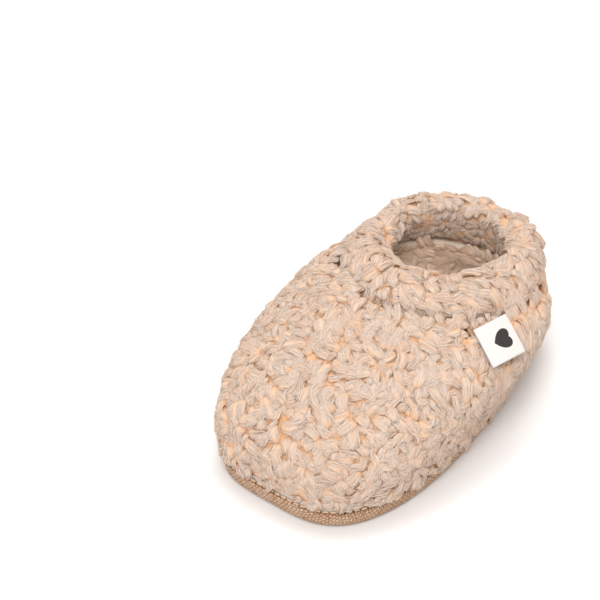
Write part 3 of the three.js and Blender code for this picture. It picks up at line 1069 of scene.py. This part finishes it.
@dataclass
class Cuff:
    """The ankle cuff: a band of fleece folded over its elastic, with pile all round it."""

    form: BootieForm
    pile: LockStyle = LockStyle(
        pitch=2.15 * MM,
        reach=(0.9, 1.7),
        height=(0.5, 0.8),
        half_width=(1.1 * MM, 2.1 * MM),
        lay=Lay.SWIRLED,
    )
    puff: float = 1.0 * MM  # how far its pile swells it
    inner_pitch: float = 1.9 * MM  # of the smaller locks inside the opening
    foot_pitch: float = 1.9 * MM  # of the locks that cover its seam
    foot: float = 0.05  # how much of the section, at either end, is its foot
    tries: int = 24000  # roots scattered before they are thinned out

    def section(self, part: np.ndarray, shrink: float) -> tuple[np.ndarray, np.ndarray]:
        """The band's section, from its outer foot over the top to its inner foot.

        Args:
            part: How far along it, from 0 to 1.
            shrink: How far inside its outside the line lies.

        Returns:
            The heights above the seam and the depths under the upper's outside.
        """
        form = self.form
        foot = form.seam_gap / 2
        half, radius = form.cuff_thickness / 2 + self.puff * 0.5, form.cuff_height / 2
        angle = mix(-0.36 * math.pi, 1.36 * math.pi, part)
        power = 0.8
        wide = np.sign(np.cos(angle)) * np.abs(np.cos(angle)) ** power
        tall = np.sign(np.sin(angle)) * np.abs(np.sin(angle)) ** power
        height = foot + radius + tall * (radius - shrink + 0.4 * MM)
        depth = form.cuff_thickness / 2 - wide * (half - shrink)
        return height, depth

    def build(self) -> list[bpy.types.Object]:
        """Builds and dresses the cuff, and returns its pieces."""
        form = self.form
        rows, columns = 44, 220
        turns = np.arange(columns) * FULL_TURN / columns
        part, turn = np.meshgrid(np.linspace(0, 1, rows), turns, indexing="ij")
        grids = []
        for shrink in (0.4 * MM, 2.6 * MM):
            height, depth = self.section(part, shrink)
            grids.append(form.cuff(turn, height, depth))
        outer, inner = grids
        away = unit(outer - inner)
        outer = outer + away * (Ripple(12).at(outer, 6 * MM) * 0.4 * MM)[..., None]
        skin = MeshShop.shell("cuff_backing", outer, inner, closed=True)
        skin.data.materials.append(BackingFinish("cuff backing").material())
        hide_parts("ankle_cuff")
        flat, area = MeshShop.cut_size((outer + inner) / 2)

        chance = np.random.default_rng(41)
        part, turn = chance.uniform(0.0, 1.0, self.tries), chance.uniform(0, FULL_TURN, self.tries)
        place = form.cuff(turn, *self.section(part, 0))
        next_place = form.cuff(turn, *self.section(part + 0.01, 0))
        around = unit(form.cuff(turn + 0.01, *self.section(part, 0)) - place)
        upward = unit(next_place - place)
        out = unit(np.cross(around, upward))
        down = np.where((part < 0.47)[:, None], -upward, upward)
        size = mix(1.0, 0.6, smooth_step(part, 0.5, 0.62)) * np.where(part < self.foot, 0.72, 1.0)
        roots = Roots(place, out, down, unit(np.cross(down, out)), size)
        foot = (part < self.foot) | (part > 1 - self.foot)
        inside = (part > 0.56) & (part < 0.94)
        front = roots.kept(~foot & ~inside & (part > 0.06)).spaced(self.pile.pitch, 41)
        inner_side = roots.kept(inside).spaced(self.inner_pitch, 42)
        roots = front.joined(inner_side).joined(roots.kept(foot).spaced(self.foot_pitch, 43))
        comb = Comb(self.pile, 41)
        locks = comb.grow(roots)
        pile, wisps = locks.piece("cuff_pile"), comb.strays(locks, roots.out).piece("cuff_fuzz")
        pile.data.materials.append(PileFinish("cuff pile").material())
        wisps.data.materials.append(PileFinish.loose("loose cuff fibre").material())

        light, dark = (240, 236, 228), (214, 208, 198)
        elastic = ClothFinish("elastic braid", light, dark, 0.9 * MM, 0.2 * MM).material()
        node = bpy.data.objects["cuff_elastic"]
        for slot in node.material_slots:
            slot.material = elastic
        return [skin, pile, wisps]


@dataclass
class Sole:
    """The sole: a tray of woven canvas that holds its padding and the insole."""

    form: BootieForm
    turns: int = 900
    weave_depth: float = 0.16 * MM
    spine: tuple[float, float] = (-26 * MM, 30 * MM)  # the ends of the line where its rows start
    flat_inset: float = 34 * MM
    outline_share: float = 0.79  # how much of its box the outline is taken to fill

    def canvas(self) -> bpy.types.Object:
        """Makes the canvas tray, with the weave as real relief."""
        form, finish = self.form, CanvasFinish("woven canvas")
        turn = np.arange(self.turns) * FULL_TURN / self.turns
        roll, quarter, lip_radius = form.canvas_roll, math.pi / 2, 0.5 * MM
        flat_steps = np.linspace(self.flat_inset, roll, 90)
        bends = np.linspace(0, quarter, 14)[1:]
        wall = np.linspace(roll, form.canvas_wall - lip_radius, 8)[1:]
        lip = np.linspace(0, quarter, 5)[1:]
        side = lip_radius * (1 - np.cos(lip))
        inset = np.concatenate([flat_steps, roll - roll * np.sin(bends), 0 * wall, side])
        top = form.canvas_wall - lip_radius * (1 - np.sin(lip))
        height = np.concatenate([0 * flat_steps, roll - roll * np.cos(bends), wall, top])
        travelled = np.concatenate([[0], np.cumsum(np.hypot(np.diff(inset), np.diff(height)))])
        beyond = travelled - travelled[len(flat_steps) - 1]
        edge = form.sole_edge(turn)
        centre = np.array([form.shift[0] - form.sole_bend * 0.6, form.shift[1], 0])
        toe_end, heel_end = self.spine
        spine = np.clip(edge - centre, [-1, toe_end, 0], [1, heel_end, 0]) * [0, 1, 0] + centre
        rows, cloth, outs = [], [], []
        rim = form.sole_point(turn, roll + 0 * turn, 0)
        for number, (x, z) in enumerate(zip(inset, height)):
            if number < len(flat_steps):
                place = mix(spine, rim, (number / (len(flat_steps) - 1)) ** 0.9)
                rows.append(place)
                cloth.append(place[:, :2])
                outs.append(np.broadcast_to([0.0, 0.0, -1.0], place.shape))
            else:
                rows.append(form.sole_point(turn, x + 0 * turn, z))
                cloth.append(rim[:, :2] + form.sole_outward(turn)[:, :2] * beyond[number])
                tilt = min(max((roll - x) / roll, 0), 1) if z <= roll else 1.0
                way = form.sole_outward(turn) * tilt
                way[:, 2] = -math.sqrt(max(0, 1 - tilt**2))
                outs.append(way)
        outer, cloth, outs = np.stack(rows), np.stack(cloth), np.stack(outs)
        relief = (finish.relief(cloth) - 0.8)[..., None] * self.weave_depth
        outer = outer + outs * relief
        outer[..., 2] = np.maximum(outer[..., 2], 0)
        flat_part = outs[..., 2] < -0.999
        outer[..., 2] = np.where(flat_part, self.weave_depth * 0.2 - relief[..., 0], outer[..., 2])
        thick = form.canvas_thickness
        steps = zip(np.maximum(inset, thick), np.maximum(height, thick))
        inner = np.stack([form.sole_point(turn, np.full(self.turns, x), z) for x, z in steps])
        for number in range(len(flat_steps)):
            inner[number] = rows[number] + [0, 0, thick]
        piece = MeshShop.shell("canvas_sole", outer[:, ::-1], inner[:, ::-1], closed=True)
        MeshShop.map_points(piece, "Cloth", np.concatenate([cloth[:, ::-1].reshape(-1, 2)] * 2))
        piece.data.materials.append(finish.material())
        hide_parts("outsole_canvas")
        return piece

    def pad(self, name: str, levels: list[tuple[float, float]], crown: float) -> bpy.types.Object:
        """Makes a soft pad with rounded edges.

        Args:
            name: The piece's name.
            levels: Its insets and heights from the bottom of its edge to the top.
            crown: How far its top swells in the middle.

        Returns:
            The object.
        """
        columns = 240
        turn = np.arange(columns) * FULL_TURN / columns
        rings = [self.form.sole_point(turn, inset + 0 * turn, height) for inset, height in levels]
        centre = np.array([self.form.shift[0] - self.form.sole_bend * 0.6, self.form.shift[1], 0])
        middles = []
        for ring, up in ((rings[0], 0.0), (rings[-1], crown)):
            fill = []
            for part in np.linspace(0, 1, 26)[:-1]:
                level = mix(centre, ring, part)
                ripple = 0.08 * MM * Ripple(5).at(level, 9 * MM) * (up > 0) * (1 - part)
                level[:, 2] = ring[:, 2] + up * (1 - part**2) + ripple
                fill.append(level)
            middles.append(fill)
        rows = np.stack([*middles[0], *rings, *middles[1][::-1]])
        faces = MeshShop.grid_faces(len(rows), columns, 0, True)
        return MeshShop.welded(MeshShop.make(name, rows.reshape(-1, 3), [faces]))

    def build(self) -> list[bpy.types.Object]:
        """Builds and dresses the sole, and returns its pieces."""
        form = self.form
        canvas = self.canvas()
        side = form.canvas_thickness + form.layer_gap
        base, top = form.insole_top - form.insole_thickness, form.insole_top
        low, high = form.canvas_thickness + form.layer_gap, base - form.layer_gap
        foam = ClothFinish("sole foam", (242, 238, 230), (228, 222, 212), 0.4 * MM, 0.1 * MM).material()
        padding = self.pad(
            "foam_padding",
            [
                (form.canvas_roll + form.layer_gap, low),
                (side + 0.6 * MM, low + 1.4 * MM),
                (side, low + 2 * MM),
                (side, high - 0.4 * MM),
                (side + 0.4 * MM, high),
            ],
            0.0,
        )
        padding.data.materials.append(foam)
        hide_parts("sole_padding")
        insole = self.pad(
            "jersey_insole",
            [
                (side + 0.3 * MM, base),
                (side, base + 0.3 * MM),
                (side, top - 0.5 * MM),
                (side + 0.4 * MM, top),
                (side + 9 * MM, top),
                (side + 11 * MM, top + 0.5 * MM),
            ],
            0.5 * MM,
        )
        # Pale jersey, made paler still as painted light for the dim inside of the bootie.
        light, dark = (252, 246, 240), (246, 236, 226)
        jersey = ClothFinish("insole jersey", light, dark, 0.35 * MM, 0.12 * MM).material()
        insole.data.materials.append(jersey)
        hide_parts("insole_lining")
        return [canvas, padding, insole]


@dataclass
class Seams:
    """The seam threads, each a row of short stitches."""

    form: BootieForm
    stitch: float = 2.4 * MM
    gap: float = 0.5 * MM
    radius: float = 0.42 * MM
    rings: int = 9
    sides: int = 8

    def row(self, name: str, path: np.ndarray, node: str) -> bpy.types.Object:
        """Sews a row of stitches.

        Args:
            name: The piece's name.
            path: Points along the seam.
            node: The frame's thread that the row stands for.

        Returns:
            The object.
        """
        steps = np.concatenate([[0], np.cumsum(np.linalg.norm(np.diff(path, axis=0), axis=1))])
        count = max(2, int(steps[-1] / self.stitch))
        starts = np.linspace(0, steps[-1], count + 1)[:-1]
        length = steps[-1] / count - self.gap
        t = np.linspace(0, 1, self.rings)
        where = starts[:, None] + self.gap / 2 + t * length
        lines = np.stack([np.interp(where, steps, path[:, axis]) for axis in range(3)], -1)
        along = unit(np.gradient(lines, axis=1))
        level = unit(np.cross(along, [0.05, 0.03, 1.0]))
        third = np.cross(level, along)
        thick = self.radius * np.sqrt(np.clip(1 - (2 * t - 1) ** 6, 0.04, 1))
        angles = np.arange(self.sides) * FULL_TURN / self.sides
        twist = 1 + 0.12 * np.cos(2 * angles[None, :] + t[:, None] * 9)
        points = (
            lines[:, :, None]
            + (thick[:, None] * twist * np.cos(angles))[None, :, :, None] * level[:, :, None]
            + (thick[:, None] * twist * np.sin(angles))[None, :, :, None] * third[:, :, None]
        )
        each = self.rings * self.sides
        firsts = range(0, count * each, each)
        grids = [MeshShop.grid_faces(self.rings, self.sides, first, True) for first in firsts]
        faces = np.concatenate(grids)
        number, ring = np.arange(count)[:, None] * each, np.arange(self.sides)
        caps = np.concatenate([number + ring[::-1], number + each - self.sides + ring])
        piece = MeshShop.make(name, points.reshape(-1, 3), [faces, caps])
        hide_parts(node)
        return piece

    def build(self) -> list[bpy.types.Object]:
        """Sews every seam, and returns the rows."""
        form = self.form
        turn = np.linspace(0, FULL_TURN, 500)
        share, near = np.linspace(0.05, 0.95, 60), np.linspace(0.72, 0.92, 30)
        height = form.canvas_wall + form.seam_gap / 2
        sole = form.sole_point(turn, np.full_like(turn, form.canvas_thickness / 2), height)
        cuff = form.cuff(turn, 0 * turn, np.full_like(turn, form.fleece_thickness / 2))
        seam, depth = form.side_seam(share), np.full_like(share, form.fleece_thickness / 2)
        rows = [
            self.row("sole_seam_stitches", sole, "sole_seam_thread"),
            self.row("cuff_seam_stitches", cuff, "cuff_seam_thread"),
            self.row("outer_side_stitches", form.wall(seam, share, depth), "outer_side_seam_thread"),
            self.row("inner_side_stitches", form.wall(-seam, share, depth), "inner_side_seam_thread"),
        ]
        depth = np.full_like(near, form.thread_diameter / 2)
        rows.append(self.row("label_stitches", form.wall(form.side_seam(near), near, depth), "label_stitch"))
        light, dark = (222, 194, 166), (196, 162, 132)
        thread = ClothFinish("sewing thread", light, dark, 0.25 * MM, 0.08 * MM, 0.7).material()
        for row in rows:
            row.data.materials.append(thread)
        return rows


@dataclass
class SideLabel:
    """The folded tape label, sewn into the outer side seam and lying back over the heel piece."""

    form: BootieForm
    width: float = 13 * MM
    reach: float = 12.5 * MM
    thickness: float = 0.8 * MM
    share: float = 0.82
    lift: float = math.radians(9)
    bow: float = 0.55 * MM
    tape: float = 0.33 * MM
    steps: int = 26  # along one side of the fold
    columns: int = 22
    origin: np.ndarray = field(init=False)
    axes: np.ndarray = field(init=False)

    def __post_init__(self) -> None:
        """Finds where the label lies: X along its reach, Y up the seam and Z out of the upper."""
        form = self.form
        fine = np.linspace(0, 1, 400)
        curve = form.outside(np.full(400, form.side_seam(self.share)), fine)
        length = np.linalg.norm(np.diff(curve, axis=0), axis=1).sum()
        rise = self.width / 2 / length
        at = np.array([self.share - rise, self.share + rise, self.share])
        place, _, _, out = form.frames(form.side_seam(at), at)
        up = unit(place[1] - place[0])
        reach = unit(np.cross(up, out[2]))
        outward = np.cross(reach, up)
        turned = reach * math.cos(self.lift) + outward * math.sin(self.lift)
        self.origin = place[2] + out[2] * (form.layer_gap + self.thickness / 2)
        self.axes = np.stack([turned, up, np.cross(turned, up)])

    def local(self, points: np.ndarray) -> np.ndarray:
        """Points in the label's own axes."""
        return (points - self.origin) @ self.axes.T

    def room(self, points: np.ndarray) -> np.ndarray:
        """How big the locks may be, from less than 1 under the label to 1 away from it."""
        x, y, _ = np.moveaxis(self.local(points), -1, 0)
        outside = np.maximum(np.maximum(-2 * x - 1 * MM, x - self.reach), np.abs(y) - self.width / 2)
        return mix(0.5, 1.0, smooth_step(outside, -0.5 * MM, 3.5 * MM))

    def clear(self, lines: np.ndarray) -> np.ndarray:
        """Which locks stay out of the label."""
        x, y, z = np.moveaxis(self.local(lines), -1, 0)
        inside = (x > -0.8 * MM) & (x < self.reach + 0.3 * MM) & (np.abs(y) < self.width / 2 + 0.2 * MM)
        return ~(inside & (z > -0.45 * MM) & (z < 5 * MM)).any((1, 2))

    def build(self) -> list[bpy.types.Object]:
        """Builds and dresses the label, and returns its pieces."""
        half = self.thickness / 2
        fold = np.linspace(-math.pi / 2, math.pi / 2, 9)[1:-1]
        straight = np.linspace(0, self.reach - half, self.steps)

        def loop(radius: float) -> np.ndarray:
            """The label's section at a distance from its middle plane."""
            bottom = np.stack([straight, np.full(self.steps, -radius)], -1)
            bend = np.stack([self.reach - half + radius * np.cos(fold), radius * np.sin(fold)], -1)
            top = np.stack([straight[::-1], np.full(self.steps, radius)], -1)
            return np.concatenate([bottom, bend, top])

        across = np.linspace(-self.width / 2, self.width / 2, self.columns)
        grids = []
        for radius in (half, half - self.tape):
            section = loop(radius)
            x = np.broadcast_to(section[:, None, 0], (len(section), self.columns))
            y = np.broadcast_to(across, x.shape)
            out = x / self.reach
            arch = self.bow * (np.sin(x / self.reach * math.pi * 0.9) - 0.2 * x / self.reach)
            rise = arch - 0.25 * MM * (y / self.width * 2) ** 2 * out
            z = section[:, None, 1] + rise
            grids.append(self.origin + np.stack([x, y, z], -1) @ self.axes)
        piece = MeshShop.shell("label_tape", grids[0], grids[1])
        section = loop(half)
        travelled = np.concatenate([[0], np.cumsum(np.hypot(*np.diff(section, axis=0).T))])
        from_seam = travelled[-1] - travelled
        u, v = np.broadcast_arrays(from_seam[:, None], across)
        places = np.stack([u, v], -1).reshape(-1, 2)
        hidden = places + [0.1, 0]  # the tape's inner side, off the heart
        MeshShop.map_points(piece, "Tape", np.concatenate([places, hidden]))
        piece.data.materials.append(TapeFinish("label tape").material())
        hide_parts("side_label")
        return [piece]


# ---------------------------------------------------------------- stage


@dataclass
class Studio:
    """The pale floor, the soft light and the camera."""

    form: BootieForm
    azimuth: float = math.radians(36.9)
    elevation: float = math.radians(40)
    distance: float = 0.8
    lens: float = 150.2
    aside: float = -31.5 * MM
    above: float = 34.8 * MM
    sky: tuple[float, ...] = (1, 0.955, 0.91, 1)
    sky_strength: float = 0.7
    light_colour: tuple[float, ...] = (0.96, 0.98, 1.0)

    def build(self) -> None:
        """Builds the stage."""
        scene = bpy.context.scene
        scene.view_settings.view_transform = "Standard"
        world = bpy.data.worlds.new("soft daylight")
        world.use_nodes = True
        world.node_tree.nodes["Background"].inputs["Color"].default_value = self.sky
        world.node_tree.nodes["Background"].inputs["Strength"].default_value = self.sky_strength
        scene.world = world

        size = 3.0
        low = -0.15 * MM
        corners = np.array([[-size, -size, low], [size, -size, low], [size, size, low], [-size, size, low]])
        floor = MeshShop.make("floor", corners, [np.array([[0, 1, 2, 3]])])
        board = Board("pale floor")
        board.surface(base_color=(0.93, 0.93, 0.93, 1), roughness=0.9)
        floor.data.materials.append(board.material)

        for name, place, power, width in (
            ("ceiling", (-0.1, 0.2, 1.3), 6.0, 0.6),
            ("window", (0.42, -0.72, 0.95), 8.0, 0.45),
        ):
            light = bpy.data.lights.new(name, "AREA")
            light.energy, light.size = power, width
            light.color = self.light_colour
            lamp = bpy.data.objects.new(name, light)
            lamp.location = place
            lamp.rotation_mode = "QUATERNION"
            lamp.rotation_quaternion = (-Vector(place)).to_track_quat("-Z", "Y")
            scene.collection.objects.link(lamp)

        a, e = self.azimuth, self.elevation
        back = Vector((math.sin(a) * math.cos(e), -math.cos(a) * math.cos(e), math.sin(e)))
        right = Vector((math.cos(a), math.sin(a), 0))
        upward = back.cross(right)
        origin = Vector((self.form.shift[0], self.form.shift[1], 0))
        data = bpy.data.cameras.new("camera")
        data.lens, data.sensor_width = self.lens, 36
        camera = bpy.data.objects.new("camera", data)
        camera.location = origin + back * self.distance
        aim = origin + right * self.aside + upward * self.above
        camera.rotation_mode = "QUATERNION"
        camera.rotation_quaternion = (aim - camera.location).to_track_quat("-Z", "Y")
        scene.collection.objects.link(camera)
        scene.camera = camera


def main() -> None:
    """Builds every sub-assembly in order and lets it ride on its body."""
    logging.basicConfig(level=logging.INFO, format="%(message)s")
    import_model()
    low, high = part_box("outsole_canvas")
    plain = BootieForm()
    edge = plain.sole_edge(np.linspace(0, FULL_TURN, 56, endpoint=False))
    middle = (edge.min(0) + edge.max(0)) / 2
    centre = (low + high) / 2
    form = BootieForm(shift=(centre.x - middle[0], centre.y - middle[1]))
    label = SideLabel(form)
    Studio(form).build()
    for maker, body in (
        (label, "label"),
        (Sole(form), "bootie"),
        (Upper(form, label), "bootie"),
        (Cuff(form), "bootie"),
        (Seams(form), "bootie"),
    ):
        for piece in maker.build():
            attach(piece, body)
            LOG.info("%s: %d faces", piece.name, len(piece.data.polygons))


if __name__ == "__main__":
    main()
